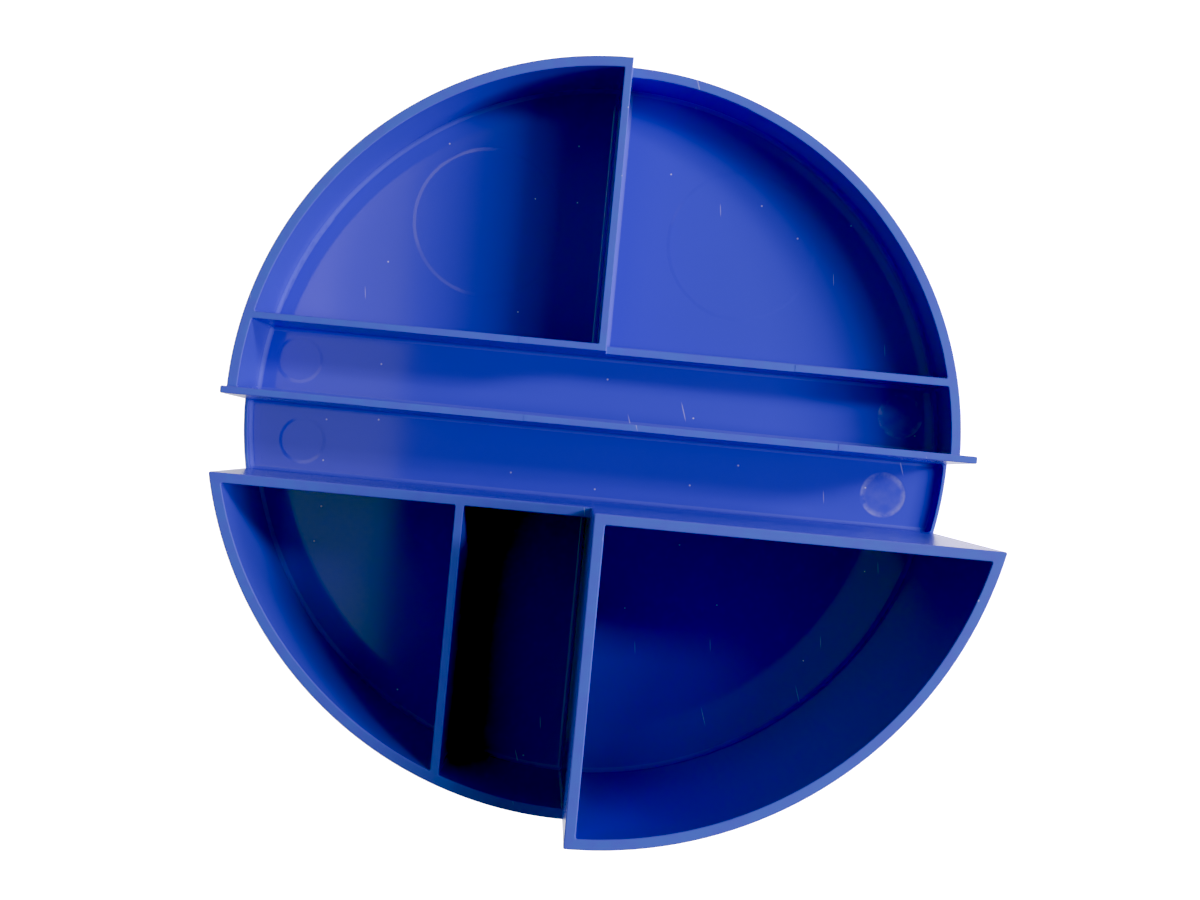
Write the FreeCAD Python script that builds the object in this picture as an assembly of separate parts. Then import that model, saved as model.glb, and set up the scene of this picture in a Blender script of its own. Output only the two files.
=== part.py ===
import FreeCAD, Part

import math
import os

# Round desk organiser: one plastic moulding with stepped rims, two shallow
# trays, two long slots and three deep bins. The moulding is made whole and then
# divided into its floors, walls and dividers, which meet face to face.
#
# Millimetres and degrees. +Z is up and the origin is the centre of the base.
# +Y runs from the deep bins to the shallow trays, and +X to the tallest bin.

# Outer wall
TOP_RADIUS = 97.5
OUTER_DRAFT = 0.5
INNER_RADIUS = 94.1
LIP_INNER_RADIUS = 95.75
INNER_DRAFT = 0.6

# Heights above the base
FLOOR_TOP = 2.5
LIP_RIM = 5.1
RIGHT_TRAY_RIM = 19.0
LEFT_TRAY_RIM = 29.7
SLOT_WALL_RIM = 37.0
BIN_RIM = 50.4
TALL_BIN_RIM = 80.0

# Draft of the cross walls and dividers
WALL_DRAFT = 0.7
SLOT_DRAFT = 0.1

# Roundings: inside corners are nearly sharp at the rim and softer at the floor
FOOT_FILLET = 1.2
CORNER_AT_FOOT = 1.0
CORNER_AT_RIM = 0.4
UPRIGHT_FILLET = 0.4
RIM_FILLET = 0.3
BASE_FILLET = 0.5

# Round marks on the floors with sloping edges: X, Y and radius, repeated at -X. Those of
# the trays stand a little proud, and those of the slots are sunk.
MARK_HEIGHT = 0.06
MARK_SLOPE = 0.9
PROUD_MARKS = [(35.2, 54.5, 20.7)]
SUNK_MARKS = [(83.3, 11.9, 6.5), (80.5, -10.2, 6.5)]

# Ejector blades leave shallow steps on the wall tops: from X to X
BLADE_DEPTH = 0.10
SLOT_WALL_BLADES = [(-60.7, -19.2), (19.6, 61.5)]
LEFT_TRAY_WALL_BLADES = [(-50.0, -22.6)]
RIGHT_TRAY_WALL_BLADES = [(16.0, 51.0)]

# Divisions run on the flat of the floor, this far off the foot of a wall. The
# outer wall is divided squarely across, a little further from the cross walls.
DIVISION_GAP = FOOT_FILLET + 0.2
RING_GAP = 1.5
CORE_RADIUS = INNER_RADIUS - DIVISION_GAP
DIVIDER_REACH = 12.0

# Larger than the object, and so near that two points are one
BIG = 150.0
ABOVE = TALL_BIN_RIM + 10.0
NEAR = 0.01

ORIGIN = FreeCAD.Vector(0, 0, 0)
UP = FreeCAD.Vector(0, 0, 1)


class Face:
    """A flat drafted wall face: its place at one height, and the way it looks."""

    def __init__(self, place, height, way, draft=WALL_DRAFT):
        self.place = place
        self.height = height
        self.way = way
        self.slope = math.tan(math.radians(draft))

    def at(self, z):
        """The face's place at height z: further out towards its foot."""
        return self.place + self.way * (self.height - z) * self.slope

    def division(self):
        """Where the floor beside this face is divided from the wall."""
        return self.at(FLOOR_TOP) + self.way * DIVISION_GAP


# Cross walls run along X: places in Y
TRAY_WALL_BACK = Face(20.30, LEFT_TRAY_RIM, -1, SLOT_DRAFT)
TRAY_WALL_LEFT_FRONT = Face(22.12, LEFT_TRAY_RIM, 1)
TRAY_WALL_RIGHT_FRONT = Face(22.38, RIGHT_TRAY_RIM, 1)
SLOT_WALL_BACK = Face(0.10, SLOT_WALL_RIM, -1)
SLOT_WALL_FRONT = Face(1.94, SLOT_WALL_RIM, 1)
BIN_WALL_BACK = Face(-22.33, BIN_RIM, -1)
TALL_BIN_WALL_BACK = Face(-22.66, TALL_BIN_RIM, -1)
BIN_WALL_FRONT = Face(-20.18, TALL_BIN_RIM, 1)

# Dividers run along Y: places in X
TRAY_DIVIDER_LEFT = Face(-1.87, LEFT_TRAY_RIM, -1)
TRAY_DIVIDER_RIGHT = Face(0.26, LEFT_TRAY_RIM, 1)
BIN_DIVIDER_LEFT = Face(-33.69, BIN_RIM, -1)
BIN_DIVIDER_RIGHT = Face(-31.52, BIN_RIM, 1)
TALL_DIVIDER_LEFT = Face(0.27, TALL_BIN_RIM, -1)
TALL_DIVIDER_RIGHT = Face(2.88, TALL_BIN_RIM, 1)


def cone(radius, height, draft, low, high):
    """A drafted round body from low to high, with the given radius at one height."""
    slope = math.tan(math.radians(draft))
    low_radius = radius + (low - height) * slope
    high_radius = radius + (high - height) * slope
    return Part.makeCone(low_radius, high_radius, high - low, FreeCAD.Vector(0, 0, low))


def prism_x(outline):
    """A prism along the whole of X from (y, z) corners."""
    points = [FreeCAD.Vector(-BIG, y, z) for y, z in outline]
    face = Part.Face(Part.makePolygon(points + points[:1]))
    return face.extrude(FreeCAD.Vector(2 * BIG, 0, 0))


def prism_y(outline):
    """A prism along the whole of Y from (x, z) corners."""
    points = [FreeCAD.Vector(x, -BIG, z) for x, z in outline]
    face = Part.Face(Part.makePolygon(points + points[:1]))
    return face.extrude(FreeCAD.Vector(0, 2 * BIG, 0))


def between(low_face, high_face, low, high):
    """Corners of the space between two faces, or open where a face is None."""
    left = [low_face.at(z) if low_face else -BIG for z in (low, high)]
    right = [high_face.at(z) if high_face else BIG for z in (low, high)]
    return [(left[0], low), (right[0], low), (right[1], high), (left[1], high)]


def block(x_low, x_high, y_low, y_high):
    """An upright block through the whole height, or open where a limit is None."""
    x0 = -BIG if x_low is None else x_low
    x1 = BIG if x_high is None else x_high
    y0 = -BIG if y_low is None else y_low
    y1 = BIG if y_high is None else y_high
    return Part.makeBox(x1 - x0, y1 - y0, ABOVE + 1, FreeCAD.Vector(x0, y0, -1))


def lowest_point(edge):
    """The lower end of an edge."""
    return min((vertex.Point for vertex in edge.Vertexes), key=lambda point: point.z)


def round_corner(tool, corner):
    """Rounds the upright edge that stands on a corner, less towards its top."""
    for edge in tool.Edges:
        if edge.BoundBox.ZLength < NEAR or (lowest_point(edge) - corner).Length > NEAR:
            continue
        if edge.Vertexes[0].Point.z < edge.Vertexes[-1].Point.z:
            return tool.makeFillet(CORNER_AT_FOOT, CORNER_AT_RIM, [edge])
        return tool.makeFillet(CORNER_AT_RIM, CORNER_AT_FOOT, [edge])
    raise ValueError("no upright edge stands on this corner")


def pocket(rim, x_faces, y_faces, radius=INNER_RADIUS):
    """The space inside one compartment up to its rim, with a rounded foot."""
    top = rim + 1.0
    tool = cone(radius, FLOOR_TOP, INNER_DRAFT, FLOOR_TOP, top)
    tool = tool.common(prism_x(between(*y_faces, FLOOR_TOP, top)))
    if x_faces:
        tool = tool.common(prism_y(between(*x_faces, FLOOR_TOP, top)))
    tool = tool.removeSplitter()
    corners = [vertex.Point for vertex in tool.Vertexes if vertex.Point.z < FLOOR_TOP + NEAR]
    for corner in corners:
        tool = round_corner(tool, corner)
    foot = [edge for edge in tool.Edges if edge.BoundBox.ZMax < FLOOR_TOP + NEAR]
    return tool.makeFillet(FOOT_FILLET, foot)


def pockets():
    """The insides of the seven compartments."""
    left_tray = pocket(LEFT_TRAY_RIM, (None, TRAY_DIVIDER_LEFT), (TRAY_WALL_LEFT_FRONT, None))
    right_tray = pocket(RIGHT_TRAY_RIM, (TRAY_DIVIDER_RIGHT, None), (TRAY_WALL_RIGHT_FRONT, None))
    closed_slot = pocket(LEFT_TRAY_RIM, None, (SLOT_WALL_FRONT, TRAY_WALL_BACK))
    open_slot = pocket(SLOT_WALL_RIM, None, (BIN_WALL_FRONT, SLOT_WALL_BACK), LIP_INNER_RADIUS)
    left_bin = pocket(BIN_RIM, (None, BIN_DIVIDER_LEFT), (None, BIN_WALL_BACK))
    middle_bin = pocket(BIN_RIM, (BIN_DIVIDER_RIGHT, TALL_DIVIDER_LEFT), (None, BIN_WALL_BACK))
    tall_bin = pocket(TALL_BIN_RIM, (TALL_DIVIDER_RIGHT, None), (None, TALL_BIN_WALL_BACK))
    return [left_tray, right_tray, closed_slot, open_slot, left_bin, middle_bin, tall_bin]


def steps():
    """The spaces above the lower rims."""
    above_slots_and_trays = prism_x([
        (BIN_WALL_FRONT.at(LIP_RIM), LIP_RIM),
        (SLOT_WALL_BACK.at(LIP_RIM), LIP_RIM),
        (SLOT_WALL_BACK.at(SLOT_WALL_RIM), SLOT_WALL_RIM),
        (SLOT_WALL_FRONT.at(SLOT_WALL_RIM), SLOT_WALL_RIM),
        (SLOT_WALL_FRONT.at(LEFT_TRAY_RIM), LEFT_TRAY_RIM),
        (BIG, LEFT_TRAY_RIM),
        (BIG, ABOVE),
        (BIN_WALL_FRONT.at(ABOVE), ABOVE),
    ])
    above_right_tray = prism_x(between(SLOT_WALL_FRONT, None, RIGHT_TRAY_RIM, SLOT_WALL_RIM))
    right_of_divider = prism_y(between(TRAY_DIVIDER_RIGHT, None, RIGHT_TRAY_RIM, SLOT_WALL_RIM))
    above_bins = prism_x(between(None, BIN_WALL_FRONT, BIN_RIM, ABOVE))
    left_of_divider = prism_y(between(None, TALL_DIVIDER_LEFT, BIN_RIM, ABOVE))
    return [
        above_slots_and_trays,
        above_right_tray.common(right_of_divider),
        above_bins.common(left_of_divider),
    ]


def is_outer_upright(edge):
    """Whether an edge is a free upright corner of a tall step or a wall's end."""
    middle = edge.valueAt((edge.FirstParameter + edge.LastParameter) / 2)
    low = edge.BoundBox.ZMin
    if edge.BoundBox.ZLength < NEAR or low < LIP_RIM - NEAR:
        return False
    if math.hypot(middle.x, middle.y) > INNER_RADIUS + 2.0:
        return abs(middle.x) > 1.0 or low > LEFT_TRAY_RIM
    return abs(low - BIN_RIM) < NEAR


def rounded(body):
    """The body with its free edges rounded."""
    base = [edge for edge in body.Edges if edge.BoundBox.ZMax < NEAR]
    body = body.makeFillet(BASE_FILLET, base)
    body = body.makeFillet(UPRIGHT_FILLET, [edge for edge in body.Edges if is_outer_upright(edge)])
    for rim in (TALL_BIN_RIM, BIN_RIM, SLOT_WALL_RIM, LEFT_TRAY_RIM, RIGHT_TRAY_RIM, LIP_RIM):
        edges = [edge for edge in body.Edges
                 if edge.BoundBox.ZLength < NEAR and abs(edge.BoundBox.ZMin - rim) < NEAR]
        body = body.makeFillet(RIM_FILLET, edges)
    return body


def mark_discs(marks, low, low_radius_less, high_radius_less):
    """Thin round discs with sloping edges, in pairs, standing on one height."""
    discs = []
    for x, y, radius in marks:
        for place in (FreeCAD.Vector(-x, y, low), FreeCAD.Vector(x, y, low)):
            radii = radius - low_radius_less, radius - high_radius_less
            discs.append(Part.makeCone(*radii, MARK_HEIGHT, place))
    return discs


def blade_marks():
    """Shallow steps across the tops of the long walls."""
    walls = [
        (SLOT_WALL_BLADES, SLOT_WALL_BACK, SLOT_WALL_FRONT, SLOT_WALL_RIM),
        (LEFT_TRAY_WALL_BLADES, TRAY_WALL_BACK, TRAY_WALL_LEFT_FRONT, LEFT_TRAY_RIM),
        (RIGHT_TRAY_WALL_BLADES, TRAY_WALL_BACK, TRAY_WALL_RIGHT_FRONT, RIGHT_TRAY_RIM),
    ]
    tools = []
    for blades, back, front, rim in walls:
        for x0, x1 in blades:
            y0 = back.at(rim) - 1.0
            y1 = front.at(rim) + 1.0
            corner = FreeCAD.Vector(x0, y0, rim - BLADE_DEPTH)
            tools.append(Part.makeBox(x1 - x0, y1 - y0, 1.0, corner))
    return tools


def moulding():
    """The whole organiser as it leaves the mould."""
    body = cone(TOP_RADIUS, TALL_BIN_RIM, OUTER_DRAFT, 0, TALL_BIN_RIM)
    body.rotate(ORIGIN, UP, 225)
    for tool in pockets() + steps():
        body = body.cut(tool)
    body = rounded(body.removeSplitter())
    for tool in mark_discs(SUNK_MARKS, FLOOR_TOP - MARK_HEIGHT, MARK_SLOPE, 0) + blade_marks():
        body = body.cut(tool)
    for disc in mark_discs(PROUD_MARKS, FLOOR_TOP, 0, MARK_SLOPE):
        body = body.fuse(disc)
    return body.removeSplitter()


def ring_angle(x=None, y=None, way=1):
    """The angle, in degrees, where a line at x or at y crosses the core's circle."""
    other = way * math.sqrt(CORE_RADIUS ** 2 - (y if x is None else x) ** 2)
    return math.degrees(math.atan2(y, other) if x is None else math.atan2(other, x))


def sector(start, end):
    """The ring outside the core, counter-clockwise between two angles."""
    corners = [ORIGIN]
    for angle in (start, end):
        turn = math.radians(angle)
        corners.append(FreeCAD.Vector(2 * BIG * math.cos(turn), 2 * BIG * math.sin(turn), 0))
    wedge = Part.Face(Part.makePolygon(corners + corners[:1])).extrude(UP * (ABOVE + 1))
    wedge.translate(-UP)
    return wedge.cut(core())


def core():
    """The round space inside the foot of the outer wall."""
    return Part.makeCylinder(CORE_RADIUS, ABOVE + 2, -UP)


def outer_wall_regions(walls):
    """Stretches of the outer wall between the ends of the cross walls and dividers."""
    tray_wall, slot_wall, bin_wall, tray_divider, bin_divider, tall_divider = walls
    right_tray = ring_angle(y=tray_wall[1] + RING_GAP), ring_angle(x=tray_divider[1] + RING_GAP)
    left_tray = (ring_angle(x=tray_divider[0] - RING_GAP),
                 ring_angle(y=tray_wall[1] + RING_GAP, way=-1))
    closed_slot_low = slot_wall[1] + RING_GAP
    closed_slot_high = tray_wall[0] - RING_GAP
    open_slot_low = bin_wall[1] + RING_GAP
    open_slot_high = slot_wall[0] - RING_GAP
    left_bin = (ring_angle(y=bin_wall[0] - RING_GAP, way=-1),
                ring_angle(x=bin_divider[0] - RING_GAP, way=-1))
    middle_bin = (ring_angle(x=bin_divider[1] + RING_GAP, way=-1),
                  ring_angle(x=tall_divider[0] - RING_GAP, way=-1))
    tall_bin = ring_angle(x=tall_divider[1] + RING_GAP, way=-1), ring_angle(y=bin_wall[0] - RING_GAP)
    return {
        "right_tray_outer_wall": sector(*right_tray),
        "left_tray_outer_wall": sector(*left_tray),
        "left_bin_outer_wall": sector(*left_bin),
        "middle_bin_outer_wall": sector(*middle_bin),
        "tall_bin_outer_wall": sector(*tall_bin),
        "closed_slot_right_end": sector(ring_angle(y=closed_slot_low), ring_angle(y=closed_slot_high)),
        "closed_slot_left_end": sector(ring_angle(y=closed_slot_high, way=-1),
                                       ring_angle(y=closed_slot_low, way=-1)),
        "open_slot_right_end": sector(ring_angle(y=open_slot_low), ring_angle(y=open_slot_high)),
        "open_slot_left_end": sector(ring_angle(y=open_slot_high, way=-1),
                                     ring_angle(y=open_slot_low, way=-1)),
    }


def floor_regions(walls):
    """The flat floors of the compartments."""
    tray_wall, slot_wall, bin_wall, tray_divider, bin_divider, tall_divider = walls
    limits = {
        "left_tray_floor": (None, tray_divider[0], tray_wall[1], None),
        "right_tray_floor": (tray_divider[1], None, tray_wall[1], None),
        "closed_slot_floor": (None, None, slot_wall[1], tray_wall[0]),
        "open_slot_floor": (None, None, bin_wall[1], slot_wall[0]),
        "left_bin_floor": (None, bin_divider[0], None, bin_wall[0]),
        "middle_bin_floor": (bin_divider[1], tall_divider[0], None, bin_wall[0]),
        "tall_bin_floor": (tall_divider[1], None, None, bin_wall[0]),
    }
    return {name: block(*limit).common(core()) for name, limit in limits.items()}


def wall_regions(walls):
    """The cross walls and dividers, each taken from what the ones before it leave."""
    tray_wall, slot_wall, bin_wall, tray_divider, bin_divider, tall_divider = walls
    between_slots = (bin_wall[1] + slot_wall[0]) / 2
    in_closed_slot = (slot_wall[1] + tray_wall[0]) / 2
    in_left_bin = bin_divider[0] - DIVIDER_REACH
    in_middle_bin = (bin_divider[1] + tall_divider[0]) / 2
    return {
        "tray_divider": block(-DIVIDER_REACH, DIVIDER_REACH, tray_wall[1], None),
        "tray_wall_left": block(None, tray_divider[1], in_closed_slot, None),
        "tray_wall_right": block(tray_divider[1], None, in_closed_slot, None),
        "slot_wall": block(None, None, between_slots, in_closed_slot),
        "bin_divider": block(in_left_bin, in_middle_bin, None, bin_wall[0]),
        "tall_bin_divider": block(in_middle_bin, DIVIDER_REACH, None, bin_wall[0]),
        "bin_wall_left": block(None, bin_divider[0], None, between_slots),
        "bin_wall_middle": block(bin_divider[0], tall_divider[0], None, between_slots),
        "bin_wall_right": block(tall_divider[0], None, None, between_slots),
    }


def divided(body):
    """The moulding as named floors, walls and dividers."""
    walls = [
        (TRAY_WALL_BACK.division(), TRAY_WALL_RIGHT_FRONT.division()),
        (SLOT_WALL_BACK.division(), SLOT_WALL_FRONT.division()),
        (TALL_BIN_WALL_BACK.division(), BIN_WALL_FRONT.division()),
        (TRAY_DIVIDER_LEFT.division(), TRAY_DIVIDER_RIGHT.division()),
        (BIN_DIVIDER_LEFT.division(), BIN_DIVIDER_RIGHT.division()),
        (TALL_DIVIDER_LEFT.division(), TALL_DIVIDER_RIGHT.division()),
    ]
    regions = {**floor_regions(walls), **outer_wall_regions(walls), **wall_regions(walls)}
    nodes = {}
    rest = body
    for name, region in regions.items():
        nodes[name] = rest.common(region)
        rest = rest.cut(region)
    return nodes


def main():
    """Writes one STEP file for each node."""
    os.makedirs("parts", exist_ok=True)
    body = moulding()
    nodes = divided(body)
    total = 0.0
    for name, shape in nodes.items():
        if len(shape.Solids) != 1 or not shape.isValid():
            raise ValueError(name + " is not one sound solid")
        solid = shape.Solids[0]
        solid.exportStep("parts/" + name + ".step")
        total += solid.Volume
        print(name, round(solid.Volume, 1), "mm3")
    print("nodes", len(nodes), "sum", round(total, 1), "whole", round(body.Volume, 1))


if __name__ == "__main__":
    main()
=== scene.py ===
"""A round, stepped desk organiser, moulded in one piece of blue plastic, seen from above."""

import math

import bpy
from mathutils import Euler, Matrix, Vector

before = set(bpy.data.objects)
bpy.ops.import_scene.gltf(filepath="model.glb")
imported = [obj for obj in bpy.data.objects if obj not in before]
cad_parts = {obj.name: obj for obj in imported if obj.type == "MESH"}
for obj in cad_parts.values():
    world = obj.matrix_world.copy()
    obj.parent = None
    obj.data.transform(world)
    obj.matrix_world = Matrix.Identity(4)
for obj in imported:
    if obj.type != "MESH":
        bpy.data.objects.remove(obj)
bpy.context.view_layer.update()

# Camera, in metres: level above the object and looking straight down
CAMERA_PLACE = (-0.00706, -0.00793, 0.4558)
CAMERA_TURN = 5.4
LENS_MM = 49.23
SENSOR_MM = 36.0
CAMERA_SHIFT = (0.0268, 0.0058)

# Ceiling lights off to the right, shining down. Places are slopes seen from the object: metres
# along X and Y for each metre of height. Strength is in watts for each square metre of light.
CEILING_HEIGHT = 1.6
CEILING_LIGHTS = {
    "far_panel": {"middle": (2.40, -0.05), "length": 0.80, "width": 0.20, "strength": 660.0},
    "middle_panel": {"middle": (1.70, 0.00), "length": 0.60, "width": 0.20, "strength": 240.0},
    "near_strip": {"middle": (1.10, -0.04), "length": 0.60, "width": 0.12, "strength": 85.0},
    "back_panel": {"middle": (1.55, 0.50), "length": 0.50, "width": 0.18, "strength": 430.0},
    "back_strip": {"middle": (1.08, 0.40), "length": 0.44, "width": 0.15, "strength": 215.0},
    "back_lamp": {"middle": (0.68, 0.40), "length": 0.36, "width": 0.15, "strength": 60.0},
}

# Room light, by direction: X, Y and Z are those of a line one unit long. A pale skyline goes
# round the room, the ceiling is pale to the left, and a patch of it that is round at its near
# side is brighter. A blur is half the width that an edge fades over, and a fade is all of it.
ROOM_COLOUR = (1.0, 0.88, 0.93, 1.0)
SKYLINE_LEVEL = 1.0
SKYLINE_TOP = 0.06
SKYLINE_FADE = 0.05
WALL_LEVEL = 0.25
WALL_TOP = 0.40
CEILING_LEVEL = 0.85
CEILING_EDGE = -0.104
CEILING_FAR_EDGE = -0.40
CEILING_FAR_FADE = 0.15
CEILING_START = (0.40, 0.60)
EDGE_BLUR = 0.004
PATCH_LEVEL = 0.9
PATCH_MIDDLE = (-0.05, 0.09)
PATCH_RADIUS = 0.098
PATCH_BLUR = 0.006
PATCH_FRONT = 0.066
PATCH_RIGHT_FADE = 0.05

# Floor, with the glow that it lights the object with and the glow that it shows
FLOOR_SIZE = 6.0
FLOOR_COLOUR = (0.85, 0.85, 0.86, 1.0)
FLOOR_ROUGHNESS = 0.9
FLOOR_GLOW = 1.15
FLOOR_SHOWN = 3.4
GLOW_COLOUR = (1.0, 1.0, 1.0, 1.0)

# Plastic. Floors are polished, walls are less so, and corners and rims are satin. Rim tops are
# painted paler, a painted reflection of the lights. Heights are in metres.
PLASTIC_COLOUR = (0.056, 0.073, 0.56)
PLASTIC_COLOUR_DEEP = (0.053, 0.069, 0.53)
PLASTIC_IOR = 1.50
POLISHED_ROUGHNESS = (0.05, 0.08)
WALL_ROUGHNESS = 0.24
CORNER_ROUGHNESS = 0.76
WARP_HEIGHT = 0.00010
SKIN_HEIGHT = 0.000002
# Rim tops are painted this paler colour: a painted reflection of the lights.
RIM_REFLECTION_COLOUR = (0.050, 0.094, 0.56)
FLOOR_TOP = 0.003
RIM_HEIGHT = 0.004
RIM_FADE = 0.001

# Slopes, as the Z of a surface's normal: where it starts to count as one, and where it fully does
FACING_UP = (0.80, 0.95)
LEVEL = (0.97, 0.995)
OFF_UPRIGHT = (0.04, 0.12)

# Noise: how fine it is for each metre, and how many finer layers it has
NOISE_ROUGHNESS = 0.55
CLOUD_NOISE = (14.0, 3.0)
RIM_REFLECTION_NOISE = (220.0, 4.0)
POLISH_NOISE = (55.0, 6.0)
WARP_NOISE = (11.0, 1.0)
SKIN_NOISE = (500.0, 2.0)
MARK_HIGHLIGHT_NOISE = (260.0, 4.0)

# The stretch of a noise that is used, and for the rims how much painted reflection is at each end
RIM_REFLECTION_RANGE = (0.35, 0.60, 0.4, 1.0)
POLISH_RANGE = (0.3, 0.7)
MARK_HIGHLIGHT_RANGE = (0.38, 0.65)

# Marks on what faces up: turn in degrees, how many to the metre each way, size as a share of the
# distance between them, and the share of them that is kept
DUST = (0.0, (80.0, 80.0), 0.022, 0.22)
# This pale colour is used for dust specks and for the painted highlights on ejector marks.
DUST_AND_HIGHLIGHT_COLOUR = (0.62, 0.60, 0.80)
DUST_STRENGTH = 0.55
SCRATCHES = [(-72.0, (36.0, 700.0), 0.11, 0.008), (-83.0, (50.0, 900.0), 0.10, 0.006)]
SCRATCH_COLOUR = (0.48, 0.46, 0.80)
SCRATCH_STRENGTH = 0.40
MARK_CORE = 0.6

# Painted highlights on ejector marks, strongest at their edges: middle, radius and how much. The
# edge's band is given as how far in from the radius it starts to show, and where it fully does.
MARK_HIGHLIGHTS = [((0.0805, -0.0102), 0.0064, 0.19), ((0.0833, 0.0119), 0.0064, 0.26)]
MARK_HIGHLIGHT_BLUR = 0.0004
MARK_HIGHLIGHT_BAND = (0.0018, 0.0006)
MARK_HIGHLIGHT_WITHIN = 0.18

# Display, as a studio camera's: what shows as black in red, green and blue, and a tone curve with
# a soft shoulder, as brightness before and after
BLACK_LEVEL = (0.034, 0.007, 0.034)
TONE_CURVE = [
    (0.0, 0.0), (0.33, 0.31), (0.52, 0.42), (0.95, 0.56), (1.30, 0.65), (2.0, 0.82), (2.8, 1.0),
]


def new_nodes(material_or_world):
    """An empty node tree to build in."""
    material_or_world.use_nodes = True
    tree = material_or_world.node_tree
    tree.nodes.clear()
    return tree


def add(tree, kind, **inputs):
    """A node with its unlinked inputs set; spaces in their names are underscores here."""
    node = tree.nodes.new(kind)
    for name, value in inputs.items():
        node.inputs[name.replace("_", " ")].default_value = value
    return node


def between(tree, value, low, high, to_low=0.0, to_high=1.0):
    """A value's range from low to high, remapped and held at its ends."""
    node = add(tree, "ShaderNodeMapRange", From_Min=low, From_Max=high)
    node.inputs["To Min"].default_value = to_low
    node.inputs["To Max"].default_value = to_high
    tree.links.new(value, node.inputs["Value"])
    return node.outputs["Result"]


def math_node(tree, operation, first, second=0.0):
    """A sum or the like of one or two values, each a number or another node's output."""
    node = tree.nodes.new("ShaderNodeMath")
    node.operation = operation
    for socket, value in zip(node.inputs, (first, second)):
        if isinstance(value, float):
            socket.default_value = value
        else:
            tree.links.new(value, socket)
    return node.outputs["Value"]


def times(tree, first, second):
    return math_node(tree, "MULTIPLY", first, second)


def plus(tree, first, second):
    return math_node(tree, "ADD", first, second)


def xyz(tree, vector):
    """The three parts of a vector."""
    split = tree.nodes.new("ShaderNodeSeparateXYZ")
    tree.links.new(vector, split.inputs["Vector"])
    return [split.outputs[axis] for axis in "XYZ"]


def blend(tree, factor, first, second):
    """A mix of two values that are other nodes' outputs."""
    node = tree.nodes.new("ShaderNodeMix")
    for name, value in (("Factor", factor), ("A", first), ("B", second)):
        tree.links.new(value, node.inputs[name])
    return node.outputs["Result"]


def blend_colour(tree, factor, first, second):
    """A mix of two colours, each fixed or another node's output."""
    node = tree.nodes.new("ShaderNodeMix")
    node.data_type = "RGBA"
    tree.links.new(factor, node.inputs["Factor"])
    for name, value in (("A", first), ("B", second)):
        if isinstance(value, tuple):
            node.inputs[name].default_value = (*value, 1.0)
        else:
            tree.links.new(value, node.inputs[name])
    return node.outputs["Result"]


def noise(tree, place, scale, detail):
    node = add(tree, "ShaderNodeTexNoise", Scale=scale, Detail=detail, Roughness=NOISE_ROUGHNESS)
    tree.links.new(place, node.inputs["Vector"])
    return node.outputs["Fac"]


def flecks(tree, place, turn, per_metre, radius, share):
    """Sparse marks seen from above: 1 on a mark, 0 elsewhere. Unequal densities make lines."""
    mapping = tree.nodes.new("ShaderNodeMapping")
    mapping.vector_type = "TEXTURE"
    mapping.inputs["Rotation"].default_value = (0.0, 0.0, math.radians(turn))
    mapping.inputs["Scale"].default_value = (1.0 / per_metre[0], 1.0 / per_metre[1], 1.0)
    tree.links.new(place, mapping.inputs["Vector"])
    cells = add(tree, "ShaderNodeTexVoronoi", Scale=1.0)
    cells.voronoi_dimensions = "2D"
    tree.links.new(mapping.outputs["Vector"], cells.inputs["Vector"])
    near = between(tree, cells.outputs["Distance"], radius, radius * MARK_CORE)
    chosen = tree.nodes.new("ShaderNodeSeparateColor")
    tree.links.new(cells.outputs["Color"], chosen.inputs["Color"])
    kept = math_node(tree, "LESS_THAN", chosen.outputs["Red"], share)
    return times(tree, near, kept)


def distance_from(tree, x, y, middle):
    """How far a place in X and Y is from a middle."""
    squares = []
    for value, centre in zip((x, y), middle):
        offset = plus(tree, value, -centre)
        squares.append(times(tree, offset, offset))
    return math_node(tree, "SQRT", plus(tree, *squares))


def mark_highlight(tree, place, middle, radius):
    """A round, patchy painted highlight that is strongest near its edge."""
    x, y, _ = xyz(tree, place)
    distance = distance_from(tree, x, y, middle)
    inside = between(tree, distance, radius, radius - MARK_HIGHLIGHT_BLUR)
    band_start, band_full = [radius - inward for inward in MARK_HIGHLIGHT_BAND]
    edge = between(tree, distance, band_start, band_full, MARK_HIGHLIGHT_WITHIN, 1.0)
    patchy = between(tree, noise(tree, place, *MARK_HIGHLIGHT_NOISE), *MARK_HIGHLIGHT_RANGE)
    return times(tree, times(tree, inside, edge), patchy)


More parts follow.
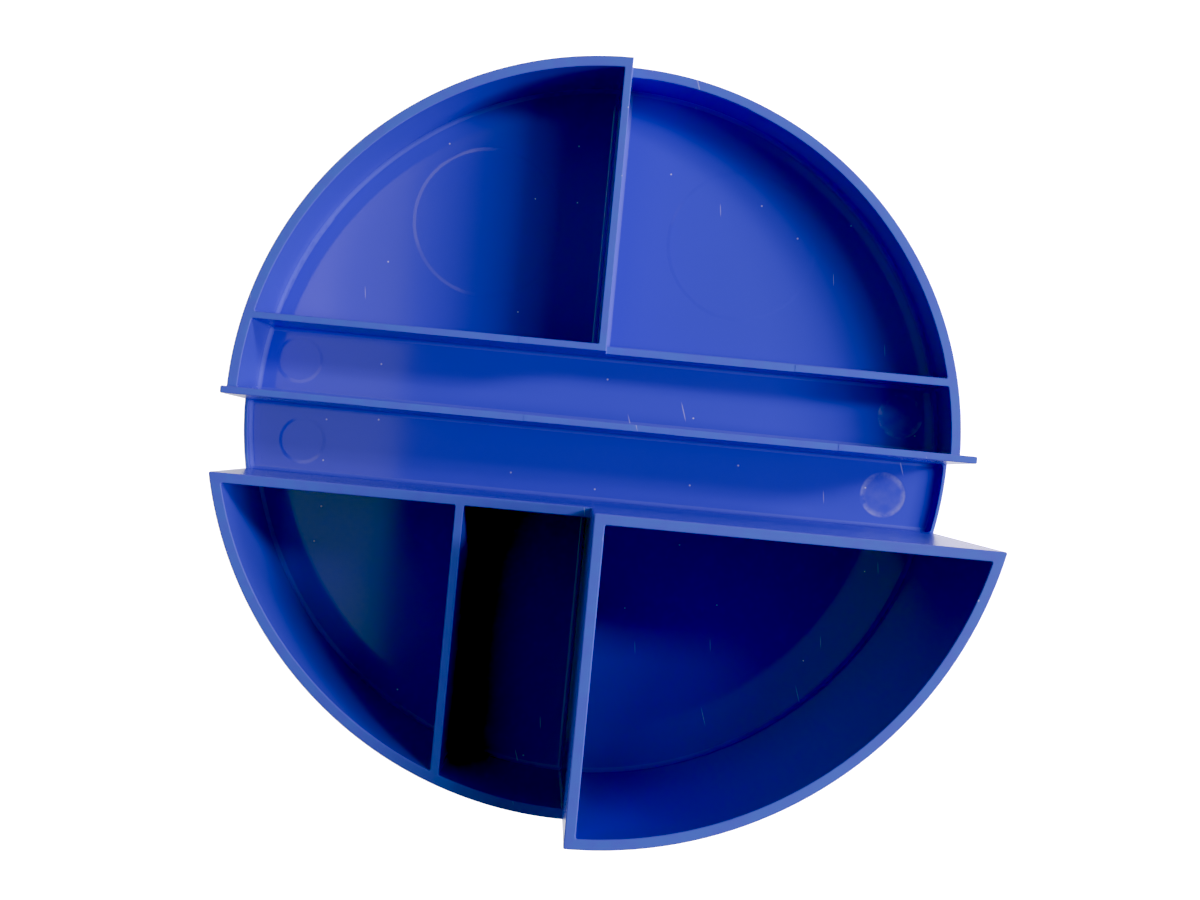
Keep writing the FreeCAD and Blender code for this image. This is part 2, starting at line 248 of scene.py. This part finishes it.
def plastic_colour(tree, place, height, up):
    """Cloudy blue, scratches and dust, with painted rim reflections and ejector-mark highlights."""
    facing_up = between(tree, up, *FACING_UP)
    clouds = noise(tree, place, *CLOUD_NOISE)
    colour = blend_colour(tree, clouds, PLASTIC_COLOUR_DEEP, PLASTIC_COLOUR)
    # Up-facing tops above the floors get a painted reflection, paler and broken up by noise.
    on_rim = times(tree, facing_up, between(tree, height, RIM_HEIGHT, RIM_HEIGHT + RIM_FADE))
    painted_rim_reflection = between(tree, noise(tree, place, *RIM_REFLECTION_NOISE), *RIM_REFLECTION_RANGE)
    colour = blend_colour(tree, times(tree, on_rim, painted_rim_reflection), colour, RIM_REFLECTION_COLOUR)
    for mark in SCRATCHES:
        scratches = times(tree, flecks(tree, place, *mark), facing_up)
        colour = blend_colour(tree, times(tree, scratches, SCRATCH_STRENGTH), colour, SCRATCH_COLOUR)
    # Ejector marks get a painted highlight: pale, patchy and strongest at their edges.
    for middle, radius, strength in MARK_HIGHLIGHTS:
        highlighted = times(tree, mark_highlight(tree, place, middle, radius), facing_up)
        colour = blend_colour(tree, times(tree, highlighted, strength), colour, DUST_AND_HIGHLIGHT_COLOUR)
    specks = times(tree, flecks(tree, place, *DUST), facing_up)
    return blend_colour(tree, times(tree, specks, DUST_STRENGTH), colour, DUST_AND_HIGHLIGHT_COLOUR)


def plastic_roughness(tree, place, height, up):
    """Unevenly polished floors, duller walls, and satin rims and corners."""
    polished = between(tree, noise(tree, place, *POLISH_NOISE), *POLISH_RANGE, *POLISHED_ROUGHNESS)
    off_upright = between(tree, math_node(tree, "ABSOLUTE", up), *OFF_UPRIGHT)
    rough = between(tree, off_upright, 0.0, 1.0, WALL_ROUGHNESS, CORNER_ROUGHNESS)
    on_floor = times(tree, between(tree, up, *LEVEL), between(tree, height, RIM_HEIGHT, FLOOR_TOP))
    return blend(tree, on_floor, rough, polished)


def plastic_bump(tree, place):
    """Broad warps of a moulding, with a fine skin on them."""
    normal = None
    for texture, distance in ((WARP_NOISE, WARP_HEIGHT), (SKIN_NOISE, SKIN_HEIGHT)):
        bump = add(tree, "ShaderNodeBump", Strength=1.0, Distance=distance)
        tree.links.new(noise(tree, place, *texture), bump.inputs["Height"])
        if normal:
            tree.links.new(normal, bump.inputs["Normal"])
        normal = bump.outputs["Normal"]
    return normal


def plastic():
    """Moulded plastic that has been handled."""
    material = bpy.data.materials.new("blue_plastic")
    tree = new_nodes(material)
    link = tree.links.new
    output = add(tree, "ShaderNodeOutputMaterial")
    shader = add(tree, "ShaderNodeBsdfPrincipled", IOR=PLASTIC_IOR)
    link(shader.outputs["BSDF"], output.inputs["Surface"])
    place = tree.nodes.new("ShaderNodeTexCoord").outputs["Object"]
    height = xyz(tree, place)[2]
    up = xyz(tree, tree.nodes.new("ShaderNodeNewGeometry").outputs["Normal"])[2]
    link(plastic_colour(tree, place, height, up), shader.inputs["Base Color"])
    link(plastic_roughness(tree, place, height, up), shader.inputs["Roughness"])
    link(plastic_bump(tree, place), shader.inputs["Normal"])
    return material


def floor_material():
    """Plain white, lit from within like a light table, and more so where it is seen directly."""
    material = bpy.data.materials.new("white_floor")
    tree = new_nodes(material)
    output = add(tree, "ShaderNodeOutputMaterial")
    shader = add(tree, "ShaderNodeBsdfPrincipled", Base_Color=FLOOR_COLOUR,
                 Roughness=FLOOR_ROUGHNESS, Emission_Color=GLOW_COLOUR)
    shown = tree.nodes.new("ShaderNodeLightPath").outputs["Is Camera Ray"]
    glow = between(tree, shown, 0.0, 1.0, FLOOR_GLOW, FLOOR_SHOWN)
    tree.links.new(glow, shader.inputs["Emission Strength"])
    tree.links.new(shader.outputs["BSDF"], output.inputs["Surface"])
    return material


def make_floor():
    half = FLOOR_SIZE / 2
    mesh = bpy.data.meshes.new("floor")
    corners = [(-half, -half, 0), (half, -half, 0), (half, half, 0), (-half, half, 0)]
    mesh.from_pydata(corners, [], [(0, 1, 2, 3)])
    mesh.materials.append(floor_material())
    floor = bpy.data.objects.new("floor", mesh)
    bpy.context.scene.collection.objects.link(floor)


def make_ceiling_light(name, middle, length, width, strength):
    """A rectangular light under the ceiling, with its length along X."""
    light = bpy.data.lights.new(name, "AREA")
    light.shape = "RECTANGLE"
    light.size = length * CEILING_HEIGHT
    light.size_y = width * CEILING_HEIGHT
    light.energy = strength * light.size * light.size_y
    lamp = bpy.data.objects.new(name, light)
    bpy.context.scene.collection.objects.link(lamp)
    lamp.location = Vector((*middle, 1.0)) * CEILING_HEIGHT


def ceiling_patch(tree, x, y):
    """The brighter patch of ceiling: left of and outside a circle, and behind a front edge."""
    distance = distance_from(tree, x, y, PATCH_MIDDLE)
    outside = between(tree, distance, PATCH_RADIUS - PATCH_BLUR, PATCH_RADIUS + PATCH_BLUR, 0.0,
                      PATCH_LEVEL)
    behind = between(tree, y, PATCH_FRONT - EDGE_BLUR, PATCH_FRONT + EDGE_BLUR)
    left = between(tree, x, PATCH_MIDDLE[0], PATCH_MIDDLE[0] - PATCH_RIGHT_FADE)
    return times(tree, times(tree, outside, behind), left)


def make_world():
    """A dim room with a pale skyline, and a pale ceiling to the left."""
    world = bpy.data.worlds.new("studio")
    bpy.context.scene.world = world
    tree = new_nodes(world)
    link = tree.links.new
    output = add(tree, "ShaderNodeOutputWorld")
    background = add(tree, "ShaderNodeBackground", Color=ROOM_COLOUR)
    x, y, z = xyz(tree, tree.nodes.new("ShaderNodeTexCoord").outputs["Generated"])

    skyline = between(tree, z, SKYLINE_TOP, SKYLINE_TOP + SKYLINE_FADE,
                      SKYLINE_LEVEL - WALL_LEVEL, 0.0)
    walls = between(tree, z, SKYLINE_TOP, WALL_TOP, WALL_LEVEL, 0.0)
    near_edge = between(tree, x, CEILING_EDGE + EDGE_BLUR, CEILING_EDGE - EDGE_BLUR, 0.0,
                        CEILING_LEVEL)
    ceiling = plus(tree, near_edge, ceiling_patch(tree, x, y))
    far_fade = between(tree, x, CEILING_FAR_EDGE, CEILING_FAR_EDGE + CEILING_FAR_FADE)
    within = times(tree, far_fade, between(tree, z, *CEILING_START))
    total = plus(tree, plus(tree, skyline, walls), times(tree, ceiling, within))
    link(total, background.inputs["Strength"])
    link(background.outputs["Background"], output.inputs["Surface"])


def set_view():
    """Plain display colours, with a studio camera's deep blacks and soft shoulder."""
    view = bpy.context.scene.view_settings
    view.view_transform = "Standard"
    view.use_curve_mapping = True
    mapping = view.curve_mapping
    mapping.use_clip = False
    mapping.extend = "EXTRAPOLATED"
    mapping.black_level = BLACK_LEVEL
    points = mapping.curves[3].points
    points[0].location = TONE_CURVE[0]
    points[1].location = TONE_CURVE[-1]
    for place in TONE_CURVE[1:-1]:
        points.new(*place)
    mapping.update()


def make_camera():
    data = bpy.data.cameras.new("camera")
    data.sensor_width = SENSOR_MM
    data.lens = LENS_MM
    data.shift_x, data.shift_y = CAMERA_SHIFT
    camera = bpy.data.objects.new("camera", data)
    bpy.context.scene.collection.objects.link(camera)
    camera.location = CAMERA_PLACE
    camera.rotation_euler = Euler((0.0, 0.0, math.radians(CAMERA_TURN)))
    bpy.context.scene.camera = camera


set_view()
make_camera()
make_world()
for name, light in CEILING_LIGHTS.items():
    make_ceiling_light(name, **light)
make_floor()

blue_plastic = plastic()
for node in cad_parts.values():
    node.material_slots[0].material = blue_plastic
